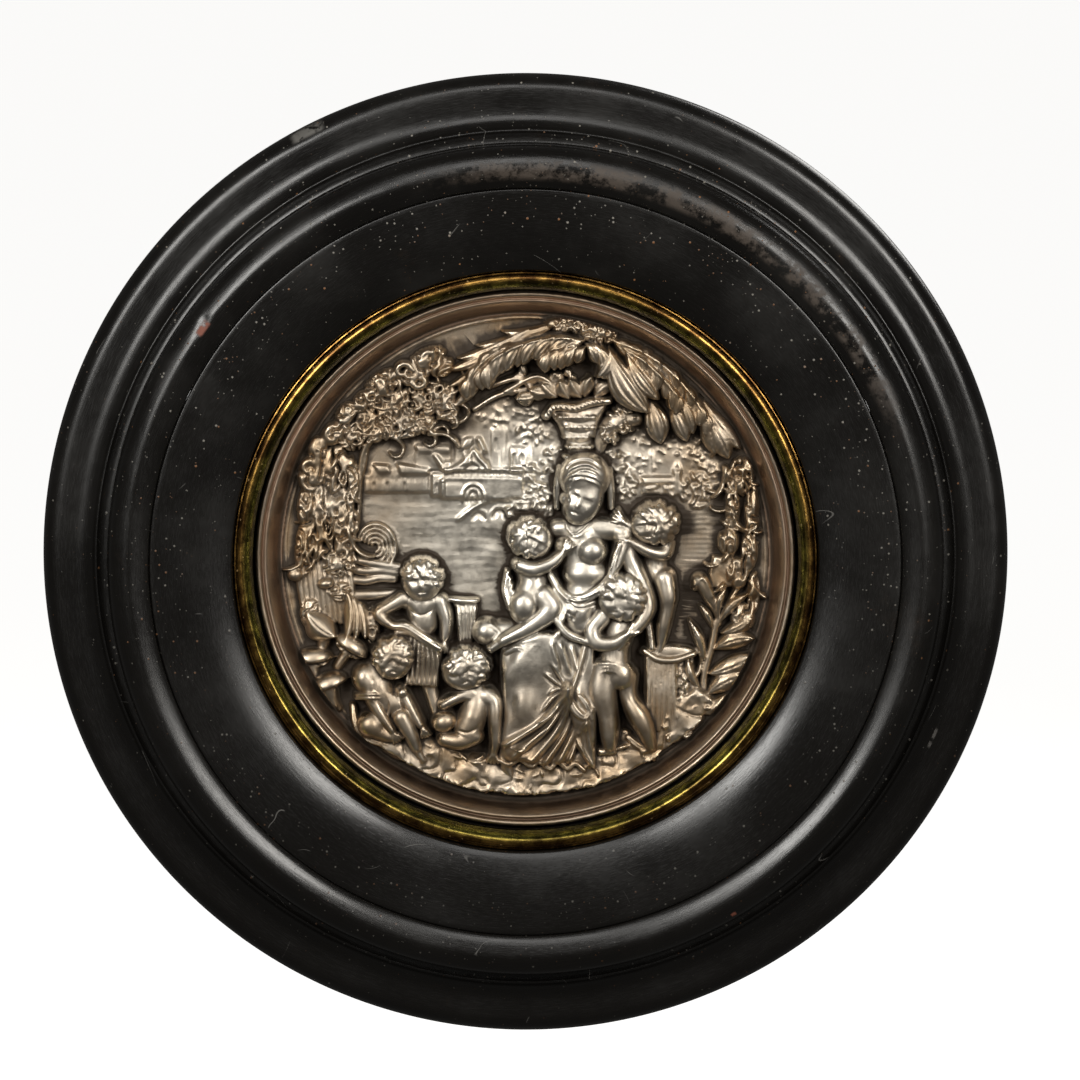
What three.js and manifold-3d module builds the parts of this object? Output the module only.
// A round relief plaque to hang on a wall.
// A turned, ebonised frame of two pieces holds a brass bead and a silvered metal relief:
// a seated woman (the allegory of Charity) under a palm tree with six children, in a landscape.
//
// Millimetres. Every piece is drawn as the plaque hangs: x to the right, y up, z out of the wall.
// The exported group turns z to face -Y, with +Z up. The origin is the centre of the flat back.
import * as THREE from "three";
import { ConvexGeometry } from "three/addons/geometries/ConvexGeometry.js";
import { mergeVertices } from "three/addons/utils/BufferGeometryUtils.js";
import Module from "manifold-3d";

const wasm = await Module();
wasm.setup();

// ---------------------------------------------------------------- driving dimensions

const GAP = 0.3; // clearance between two pieces that touch
const SEGMENTS = 40; // facets round each turned piece, the same on all, so that the gaps stay even

const FRAME_RADIUS = 120; // widest point of the ring
const SEAM_RADIUS = 93.1; // where the ring's bore meets the board
const TORUS_RADIUS = 98; // crest of the torus
const TORUS_HEIGHT = 25.6;

const BOARD_RADIUS = SEAM_RADIUS - GAP;
const SLIP_RADIUS = 72.4; // bore in the board that takes the brass bead
const SLIP_LEDGE = 14.5;
const PLATE_BORE = 67.5; // bore in the board that takes the relief
const PLATE_FLOOR = 3.2;

const PLATE_RADIUS = PLATE_BORE - GAP - 0.3;
const PLATE_BACK = PLATE_FLOOR + GAP;
const RIM_HEIGHT = 15;
const FIELD_RADIUS = 60; // the sculpted field inside the cove
const FIELD_EDGE = 7.6; // the field's height at its edge
const FIELD_CENTRE = 6.9; // it is slightly dished
const FOOT = 5.5; // what stands on the field starts inside the plate, at this height

// ---------------------------------------------------------------- solids

/** A closed three.js geometry as a manifold-3d solid. */
function solid(geometry) {
  const bare = geometry.index ? geometry.toNonIndexed() : geometry.clone();
  for (const name of ["normal", "uv"]) bare.deleteAttribute(name);
  const merged = mergeVertices(bare, 1e-4);
  return new wasm.Manifold(
    new wasm.Mesh({
      numProp: 3,
      vertProperties: new Float32Array(merged.attributes.position.array),
      triVerts: new Uint32Array(merged.index.array),
    }),
  );
}

/** A manifold-3d solid as a three.js geometry. */
function geometryOf(made) {
  const mesh = made.getMesh();
  const geometry = new THREE.BufferGeometry();
  geometry.setAttribute(
    "position",
    new THREE.BufferAttribute(new Float32Array(mesh.vertProperties), 3),
  );
  geometry.setIndex(new THREE.BufferAttribute(new Uint32Array(mesh.triVerts), 1));
  geometry.computeVertexNormals();
  return geometry;
}

/** A turned piece from its section, [radius, height] points that run anticlockwise. */
function turned(section) {
  const closed = section[0][0] === 0 ? section : [...section, section[0]];
  const outline = closed.map(([radius, height]) => new THREE.Vector2(radius, height));
  return new THREE.LatheGeometry(outline, SEGMENTS).rotateX(Math.PI / 2);
}

/** Points on an arc in the section, from angle a0 to a1 in degrees, about (radius, height). */
function arc(radius, height, r, a0, a1, steps) {
  return Array.from({ length: steps + 1 }, (_, i) => {
    const a = THREE.MathUtils.degToRad(a0 + ((a1 - a0) * i) / steps);
    return [radius + r * Math.cos(a), height + r * Math.sin(a)];
  });
}

/** The convex solid round some points, each [x, y, z], and their feet in the plate. */
function block(points) {
  const all = points.flatMap(([x, y, z]) => [
    new THREE.Vector3(x, y, z),
    new THREE.Vector3(x, y, FOOT),
  ]);
  return solid(new ConvexGeometry(all));
}

/** Points of a boss, [x, y, z, radius]: the corners of its outline at its own height, and its crown. */
function boss([x, y, z, r], corners = 4) {
  const points = [[x, y, z + r]];
  for (let i = 0; i < corners; i++) {
    const a = (2 * Math.PI * (i + 0.5)) / corners;
    points.push([x + 1.06 * r * Math.cos(a), y + 1.06 * r * Math.sin(a), z]);
  }
  return points;
}

/** A body, thigh or fist: the convex solid round a few bosses. */
const mass = (...bosses) => block(bosses.flatMap((spec) => boss(spec, 5)));

/** A limb, stem or roll of cloth along its joints, [x, y, z, radius] each. */
function limb(...joints) {
  return joints.slice(1).map((joint, i) => block([...boss(joints[i]), ...boss(joint)]));
}

/**
 * One rounded lump, [x, y, z, rx, ry, turn in degrees]: its outline at its own height, a smaller
 * ring above and its crown. rise is the crown's height over z.
 */
function lump([x, y, z, rx, ry = rx, turn = 0], sides = 7, rise = Math.min(rx, ry)) {
  const c = Math.cos(THREE.MathUtils.degToRad(turn));
  const s = Math.sin(THREE.MathUtils.degToRad(turn));
  const points = [[x, y, z + rise]];
  for (let i = 0; i < sides; i++) {
    const a = (2 * Math.PI * (i + 0.5)) / sides;
    for (const [reach, lift] of [[1, 0], [0.7, 0.72]]) {
      const u = rx * reach * Math.cos(a);
      const v = ry * reach * Math.sin(a);
      points.push([x + u * c - v * s, y + u * s + v * c, z + rise * lift]);
    }
  }
  return block(points);
}

/** Where a strip from base to tip, [x, y, z] each, is at t along it and across it, and how high. */
const onStrip = (base, tip, half) => {
  const dx = tip[0] - base[0];
  const dy = tip[1] - base[1];
  const side = half / Math.hypot(dx, dy);
  return (t, across, lift) => [
    base[0] + dx * t - dy * side * across,
    base[1] + dy * t + dx * side * across,
    base[2] + (tip[2] - base[2]) * t + lift,
  ];
};

/** A leaf from its base to its tip: pointed at both ends, widest past the middle, with a ridge. */
function leaf(base, tip, width, crown = 1) {
  const at = onStrip(base, tip, width / 2);
  return block([
    at(0, 0, 0),
    at(0.62, 1, -crown),
    at(0.62, -1, -crown),
    at(0.55, 0, 0.2),
    at(1, 0, -crown),
  ]);
}

/** A fold of cloth: a ridge from its pinched end that widens to its foot. */
function fold(from, to, width, lift = 1.2) {
  const at = onStrip(from, to, width / 2);
  return block([at(0, 0, 0), at(1, 1, -lift), at(1, -1, -lift), at(1, 0, 0)]);
}

/** A head: the face, and a cap of hair on the side that hair points to, in degrees. */
function head([x, y, z, rx, ry, turn = 0], hair) {
  const size = Math.min(rx, ry);
  const a = THREE.MathUtils.degToRad(hair);
  const capX = x + 0.3 * size * Math.cos(a);
  const capY = y + 0.3 * size * Math.sin(a);
  return [
    lump([x, y, z, rx, ry, turn], 8),
    lump([capX, capY, z + 0.6, 0.86 * rx, 0.86 * ry, turn + 20], 7, size + 0.2),
  ];
}

// ---------------------------------------------------------------- the turned frame

/** The ring: rounded edge, flat, cavetto, groove and torus. */
const ringSection = [
  [SEAM_RADIUS, 0],
  [FRAME_RADIUS - 3, 0],
  [FRAME_RADIUS, 5],
  [FRAME_RADIUS - 1.6, 9.5],
  [FRAME_RADIUS - 3.8, 10.5],
  [FRAME_RADIUS - 9, 10.6],
  [FRAME_RADIUS - 13.5, 14],
  [103.2, 13.5],
  [103.3, 21],
  [101.6, 24.3],
  [TORUS_RADIUS, TORUS_HEIGHT],
  [SEAM_RADIUS, 23.8],
];

/** The board: flat back, sloping liner, ledge for the brass and recess for the relief. */
const boardSection = [
  [0, 0],
  [BOARD_RADIUS, 0],
  [BOARD_RADIUS, 23.2],
  [84, 22.7],
  [77.8, 21.9],
  [SLIP_RADIUS, 20],
  [SLIP_RADIUS, SLIP_LEDGE],
  [PLATE_BORE, SLIP_LEDGE],
  [PLATE_BORE, PLATE_FLOOR],
  [0, PLATE_FLOOR],
];

/** The brass bead: a quarter-round that runs down from the liner to the relief's rim. */
const slipSection = [
  [PLATE_BORE, SLIP_LEDGE + GAP],
  [SLIP_RADIUS - GAP, SLIP_LEDGE + GAP],
  ...arc(PLATE_BORE + 0.7, 15.6, 4.4, 28, 88, 2).map(([radius, height]) => [
    Math.min(radius, SLIP_RADIUS - GAP),
    height,
  ]),
  [PLATE_BORE, 17],
];

/** The plate: flat back, rim, cove and dished field. */
const plateSection = [
  [0, PLATE_BACK],
  [PLATE_RADIUS, PLATE_BACK],
  [PLATE_RADIUS, RIM_HEIGHT - 0.3],
  [65.6, RIM_HEIGHT],
  [64.4, RIM_HEIGHT - 1.6],
  [62.4, 11.6],
  [61, 9.4],
  [FIELD_RADIUS, FIELD_EDGE],
  [0, FIELD_CENTRE],
];

// ---------------------------------------------------------------- the carving

/** The woman, seated, in a hood, with a cloth across her body. */
function woman() {
  return [
    lump([15.2, 20.6, 12.4, 6.2, 5.6], 8), // hood
    lump([14.6, 16, 12.6, 4.6, 6.4, -20], 8), // face
    ...limb([9.4, 21, 10, 1.7], [8.6, 12.6, 9, 1.6]), // the hood's sides
    ...limb([21, 21, 10, 1.7], [21.6, 13, 9, 1.6]),
    ...limb([13.8, 10.5, 10, 3], [14.6, 6, 10.4, 3.6]),
    mass([7.4, 6, 9.4, 2.8], [23.2, 6.2, 10, 3], [13, 1.6, 11.6, 3.6], [18.2, 1.4, 12, 3.8]), // bust
    mass([14.9, -3, 11.4, 5], [13, -13.6, 12, 4.6]), // waist
    ...limb([25.2, 4, 11, 2.7], [30.2, -6.4, 12.2, 2.8], [30.6, -13.4, 13, 2.4], [25.6, -18.6, 14.6, 1.8]),
    mass([25.6, -18.6, 14.4, 1.7], [20.4, -21.4, 14.8, 1.2]),
    ...limb([25, 5.6, 13, 1.1], [22.6, -3, 13.4, 1.2], [13, -9.6, 15.6, 1.3], [6.4, -4.8, 12, 1.2]),
    ...limb([8, -15.4, 14.4, 1.2], [15.4, -20.4, 14.6, 1.2]),
  ];
}

/** Her skirt: over both knees and down to the hem, pulled into folds at her side. */
function skirt() {
  const pinch = (i) => [9.8 + 0.5 * i, -31 - 0.35 * i, 15.2]; // the folds run from about here
  const hem = [[-5, -51], [0.4, -51.4], [5.4, -50.8], [10.2, -51.4]];
  const shape = [
    [-4.6, -22.4, 12.4],
    [3, -17.4, 13],
    [12.6, -18, 12.4],
    [-0.8, -25, 16.4],
    [9, -22, 15.2],
    [-3, -48.6, 14.4],
    [-6, -50, 11.8],
    [9, -50, 12.6],
    [12.4, -50.6, 11],
  ];
  return [
    block(shape),
    mass([-9.9, -18.4, 9.6, 3.8], [-1, -19.6, 11.6, 3.6]), // her far knee
    fold(pinch(-1), [1.6, -27.4, 16.2], 2.6, 1),
    fold(pinch(0), [0.8, -38.6, 16], 3, 1),
    ...hem.map(([x, y], i) => fold(pinch(i + 1), [x, y, 14.2 - 0.2 * i], 4, 1.8)),
    ...limb([14.8, -22, 13.4, 1], [11, -34, 14.2, 1.4]),
    fold([14.6, -22, 12.6], [16, -39, 14.8], 5, 2), // the cloth that hangs beside it
    fold([16.4, -37, 14.4], [15.8, -52.6, 12.6], 4.6, 2),
    leaf([-4.8, -51.4, 12.4], [-3.4, -55, 10.8], 2.6, 0.6), // the toe of her shoe
  ];
}

/** The child who sits on her lap and reaches up. */
function childOnLap() {
  return [
    ...head([1.1, 4.8, 12, 5.4, 4.6, -30], 140),
    ...limb([-1, -2, 13.6, 2.4], [4.8, -1.8, 14.2, 2.2], [8.9, 1.1, 14.2, 1.7], [10.4, 3.6, 13.8, 1.3]),
    mass([-1.4, -3.4, 10.6, 3], [4, -3.4, 10.6, 3], [1, -9, 11.4, 4]),
    mass([-0.4, -10.6, 13.2, 3.8], [-0.8, -14, 13, 2.8]),
    ...limb([4.8, -10.4, 12.8, 3.4], [5.4, -13.4, 13.6, 2.9], [-5.8, -20.4, 14, 1.6]),
    mass([-8.4, -20.8, 12.8, 1.4], [-5.8, -23.2, 13.2, 1.3]),
    ...limb([-4.4, -4.6, 11.6, 1.3], [-8.2, -17.8, 12, 1.4]),
    fold([6.8, -8, 12.6], [9, -15.4, 14.6], 3),
    ...limb([-3.6, -22.8, 13.8, 1.5], [7.4, -20.4, 14.6, 1.5]),
  ];
}

/** The child who stands on the stump and leans on her shoulder. */
function childAtShoulder() {
  return [
    ...head([32, 8.5, 11.6, 5.7, 4.9], 20),
    mass([22.4, 10, 12, 1.1], [24.6, 8.4, 12, 1.2]),
    ...limb([26.2, 4.2, 13, 1.6], [31.6, 1.4, 12.6, 1.9], [34.6, 3, 10.6, 2.2]),
    mass([34, 1, 9, 3], [31.6, -2, 9, 2.6], [34.6, -5.4, 11, 3]),
    ...limb([34.8, -5.4, 11.2, 3], [35.6, -10.4, 12, 2.4], [34, -17.6, 11.4, 1.8], [34, -22.6, 11, 1.4]),
  ];
}

/** The stump he stands on, with a cloth hanging over it. */
function stump() {
  const flutes = [31.8, 34.4, 37, 39.8];
  return [
    lump([36.2, -23.8, 10.8, 6.4, 1.8], 8, 1),
    ...flutes.map((x) => fold([x, -24, 11.6], [x + 0.4, -42, 11.6], 2.8, 1.8)),
    block([[31, -25, 10.2], [41.6, -25, 10], [42, -42, 9.6], [31, -42, 10]]),
  ];
}

/** The child in front of her, seen from behind, held in her arm. */
function childInFront() {
  return [
    ...head([23.8, -9.8, 13.2, 5.5, 5.3], 20),
    ...limb([19.4, -13.8, 13.4, 2.5], [16.4, -19.2, 14, 2.4], [25, -19.4, 14.6, 1.7]),
    mass([20.6, -16, 11.6, 3], [28, -17, 11.2, 2.6], [23, -24.6, 12, 3.6]),
    mass([23.4, -25.6, 12.6, 3.6], [19.6, -29.6, 12.6, 4.4], [22.6, -32, 12.4, 3.8]),
    ...limb([19, -32.6, 12.6, 4], [19.8, -40.2, 12.6, 2.5], [21, -44.4, 12.6, 2.2], [20.8, -48.6, 11.6, 1.5]),
    ...limb([25.4, -29.6, 12, 2.6], [26, -36.2, 12.8, 2.4], [28.4, -41, 13, 2.5], [32, -47, 12, 1.6]),
    ...limb([15.8, -27, 13.6, 1.1], [20.6, -25, 16.4, 1.1], [26.4, -28, 13.6, 1.1]), // cloth at the hips
  ];
}

/** The boy who stands at the left with a hand on his hip. */
function boyStanding() {
  const flutes = [-29, -26.2, -23.4];
  return [
    ...head([-25.8, -5.4, 11.4, 4.7, 5.2], 90),
    ...limb([-30.4, -9.8, 10.4, 2.3], [-36.6, -13.2, 11.2, 2.1], [-32.6, -16.6, 12, 1.5]),
    ...limb([-21, -10.6, 10.6, 2.4], [-20, -17.4, 11, 1.8], [-20.4, -22, 11.4, 1.4]),
    mass([-29, -11.4, 10, 2.8], [-22.6, -11.4, 10, 2.8], [-25.6, -19.6, 11, 4]),
    ...limb([-32.2, -16.8, 12.2, 1.4], [-20.8, -21.8, 13, 1.4]),
    ...flutes.map((x, i) => fold([-26.6 + 0.6 * i, -19, 13.8], [x, -32, 13.2], 3.2, 2)),
    ...limb([-25, -31.4, 9.6, 2.3], [-23, -38.6, 9.8, 1.7]),
  ];
}

/** The fluted post behind him. */
function post() {
  const flutes = [-17.6, -15, -12.6];
  return flutes.map((x) => fold([x, -22.4, 9.4], [x, -10, 11], 2.8, 1.4));
}

/** The boy who sits at the lower left and bends forward. */
function boyBending() {
  return [
    ...head([-32.7, -24.6, 12.8, 4.7, 5, -10], 75),
    mass([-39.4, -29.4, 11.6, 4], [-36, -32.6, 11.6, 3.6], [-33, -36, 11.4, 3.6]),
    ...limb([-39.4, -30.8, 12.6, 3], [-38.2, -34.8, 12.8, 2.4], [-33, -43, 13.6, 1.5]),
    ...limb([-30.6, -33, 12.2, 2], [-28.2, -38.2, 12.6, 1.6], [-25.2, -42.8, 12.4, 1.3]),
    mass([-38.6, -41, 12.4, 3.4], [-38, -43, 12.4, 2.8], [-32.4, -44.4, 12.4, 1.8]),
    ...limb([-31, -39.6, 13.2, 2.7], [-27.6, -46.2, 13, 1.9], [-25.6, -49.8, 12, 1.4]),
    ...limb([-39.4, -46.4, 10.6, 1.4], [-29.8, -47.8, 11, 1.4]),
  ];
}

/** The boy who lies at her feet, on one arm. */
function boyLying() {
  return [
    ...head([-14.6, -27.6, 12.8, 5.7, 4.9, 10], 30),
    ...limb([-20.8, -36.6, 12.8, 1.9], [-13.8, -34.6, 13.6, 1.8]),
    ...limb([-11.4, -33.4, 12, 3], [-7.8, -34.4, 12.6, 2.9], [-7.5, -41.8, 13, 1.9], [-7.8, -49, 12, 1.3]),
    mass([-11.4, -35, 11.4, 3.4], [-13.6, -41.6, 11.8, 4]),
    mass([-21, -40.7, 12.8, 2.8], [-16, -41.2, 12, 3]),
    mass([-20.4, -45.4, 12.4, 2.4], [-14.4, -45.8, 12.6, 2.6]),
  ];
}

/** The palm: trunk, two boughs and the leaves of its crown, from base to tip. */
function palm() {
  const crown = [
    [[7, 58.4, 11], [-18, 47.6, 10.4], 7],
    [[-2, 54.6, 12], [-16.8, 41.4, 10.6], 6],
    [[6, 53.4, 13.2], [-13.6, 42.4, 11.8], 7],
    [[9, 52, 13.6], [-6, 44.6, 12.2], 6],
    [[12, 51.4, 13.8], [2, 44.4, 12.4], 5],
    [[13.6, 53, 14], [10.4, 43.8, 12.2], 6],
    [[15.4, 53, 14], [18, 44.4, 12.4], 6],
    [[19, 52.6, 14], [30.4, 35.4, 12.2], 8.5],
    [[22, 53, 13], [36, 37.6, 12], 8],
    [[28, 50.4, 12.4], [41, 36.4, 11.6], 7],
    [[33, 48, 11.6], [46, 33, 10.8], 6.5],
    [[31, 40, 10.8], [34.4, 27.6, 10], 6.5],
    [[35.4, 39.6, 10.6], [41.4, 28, 9.8], 5.6],
  ];
  return [
    ...limb([13.8, 24, 7.6, 4.2], [13.4, 31, 7.8, 4], [12.8, 38.4, 8.6, 5]),
    ...limb([5.4, 36.6, 9, 2], [20, 39.6, 9.6, 2.4]),
    ...limb([18, 27.6, 7.6, 2], [20.4, 32.4, 8.4, 2.8], [27, 34.4, 8.4, 2.2]),
    lump([13, 43, 8.4, 8, 4.6], 7),
    lump([18.6, 56, 10.8, 4.8, 3.4, -30], 6),
    ...crown.map(([base, tip, width]) => leaf(base, tip, width, 1.6)),
  ];
}

/** Knotty foliage in the upper left, running down the left edge into rocks and reeds. */
function leftGrowth() {
  const sprays = Array.from({ length: 8 }, (_, i) => {
    const a = THREE.MathUtils.degToRad(113 + 9.4 * i); // they follow the edge of the field
    const out = 52.5 + 1.5 * (i % 2);
    return leaf(
      [(out + 4) * Math.cos(a), (out + 4) * Math.sin(a), 10.6],
      [(out - 6) * Math.cos(a + 0.16), (out - 6) * Math.sin(a + 0.16), 10.2],
      7.6,
      1.4,
    );
  });
  const reeds = [-53.4, -50.6, -47.8];
  return [
    ...sprays,
    ...limb([-24, 39, 8, 2.6], [-38, 34, 8, 3]),
    ...limb([-42, 30, 8, 2.4], [-47, 20, 8.2, 2.8], [-45.6, 6.4, 8.4, 2.6]),
    lump([-36.4, 3.6, 8.4, 4.4, 5, -15], 6, 2.6),
    ...limb([-43, -2.6, 8.4, 2.2], [-32.6, -3.6, 8.8, 1.8]),
    fold([-43.4, -5, 9], [-42.4, -16.4, 11.2], 4),
    fold([-40.4, -9.4, 9], [-38, -20.4, 11], 3.6),
    ...reeds.map((x) => fold([x, -0.4, 9.4], [x + 1.2, -14, 10.6], 2.4)),
  ];
}

/** Four mushroom caps at the left edge. */
function mushrooms() {
  return [
    lump([-49.6, -16.2, 10.4, 3.9, 3.2, -25], 6),
    lump([-43.4, -21.8, 11, 4, 3, -25], 6),
    lump([-53.2, -24.4, 11, 4.8, 2.7, 5], 6),
    lump([-49.4, -30.8, 11.2, 4.5, 3, 10], 6),
    fold([-50.8, -27, 10], [-48.8, -37.4, 10.6], 4),
  ];
}

/** Leaves, a curled frond and a rock at the right edge. */
function rightGrowth() {
  const sprays = Array.from({ length: 5 }, (_, i) => {
    const a = THREE.MathUtils.degToRad(31 - 7.6 * i);
    return leaf(
      [57 * Math.cos(a), 57 * Math.sin(a), 10.4],
      [50 * Math.cos(a - 0.13), 50 * Math.sin(a - 0.13), 10],
      5.6,
      1.1,
    );
  });
  return [
    ...sprays,
    block([[46.4, 0.6, 10], [50.6, 1, 9.8], [51.6, -6.6, 9.8], [46, -6.6, 10.2]]),
    ...limb([43.4, -6.4, 10.4, 2.1], [48, -15, 9.2, 1.2], [46.8, -37, 8.8, 1.2]),
    leaf([48, -15.6, 9.6], [55.6, -9.6, 10], 3.4, 0.8),
    leaf([47.4, -20.6, 9.8], [57, -15, 10.4], 4, 0.9),
    leaf([46.6, -24.8, 10], [57.2, -21.6, 10.8], 4.6, 1),
    leaf([46.4, -31, 10], [56.2, -26.6, 11], 5.6, 1),
    leaf([45.6, -37, 10], [53, -32.4, 10.8], 5, 1),
  ];
}

/** The ground: rocks along the lower edge, in overlapping blocks. */
function ground() {
  const start = 217; // degrees, counted anticlockwise from +x
  const step = 18.6;
  const overlap = 4;
  return Array.from({ length: 6 }, (_, i) => {
    const angles = [start + step * i - overlap, start + step * (i + 1)];
    const rise = 0.5 * (i % 2);
    return block(
      angles.flatMap((angle) => {
        const a = THREE.MathUtils.degToRad(angle);
        return [[50.5 - 2 * (i % 2), 9], [57, 11.6 + rise], [63.6, 12.2]].map(([reach, height]) => [
          reach * Math.cos(a),
          reach * Math.sin(a),
          height,
        ]);
      }),
    );
  });
}

/** A building: left, right, foot and eaves, the height of its front, and a roof that slopes back. */
function building(left, right, foot, eaves, z, roof = 0) {
  const inset = (right - left) * 0.12;
  return block([
    [left, foot, z],
    [right, foot, z],
    [left, eaves, z],
    [right, eaves, z],
    [left + inset, eaves + roof, z - 0.5],
    [right - inset, eaves + roof, z - 0.5],
  ]);
}

/** The landscape behind: a castle and a bridge at the left, a church at the right, and bushes. */
function landscape() {
  return [
    building(-39, -25, 16.8, 20.6, 8, 2.2),
    building(-24.8, -2, 14, 21.4, 8.3, 2),
    building(-22.4, -14, 20, 24, 8.6, 3.6),
    building(-12, -4, 20, 28.4, 7.8, 0.4),
    fold([-17, 9.4, 7.8], [-9, 13.4, 8.4], 2, 0.5),
    fold([-1, 11.6, 7.8], [-9.4, 13.4, 8.4], 2, 0.5),
    lump([4, 16.6, 7.4, 4, 6.4], 6, 0.9),
    building(28.6, 36.6, 16.6, 20.6, 8.1, 1.8),
    building(36.8, 38.8, 16.4, 22.6, 8.5, 1.8),
    lump([43.4, 16.4, 7.4, 4, 3.6], 6, 0.9),
  ];
}

/** The relief: every figure and plant stands on the dished plate, as one casting. */
function reliefPlate() {
  const carving = [
    woman,
    skirt,
    childOnLap,
    childAtShoulder,
    stump,
    childInFront,
    boyStanding,
    post,
    boyBending,
    boyLying,
    palm,
    leftGrowth,
    mushrooms,
    rightGrowth,
    ground,
    landscape,
  ].flatMap((group) => group());
  return geometryOf(wasm.Manifold.union([solid(turned(plateSection)), ...carving]));
}

// ---------------------------------------------------------------- the plaque

const ebonised = () =>
  new THREE.MeshStandardMaterial({ color: 0x171513, roughness: 0.22, metalness: 0 });
const brass = new THREE.MeshStandardMaterial({ color: 0xa8792e, roughness: 0.3, metalness: 1 });
const silvered = new THREE.MeshStandardMaterial({ color: 0xa39b8e, roughness: 0.38, metalness: 1 });

function piece(name, geometry, material) {
  const mesh = new THREE.Mesh(geometry, material);
  mesh.name = name;
  return mesh;
}

const plaque = new THREE.Group();
plaque.add(
  piece("outer_frame", turned(ringSection), ebonised()),
  piece("centre_board", turned(boardSection), ebonised()),
  piece("brass_slip", turned(slipSection), brass),
  piece("relief_plate", reliefPlate(), silvered),
);
plaque.rotation.x = Math.PI / 2;

export default plaque;
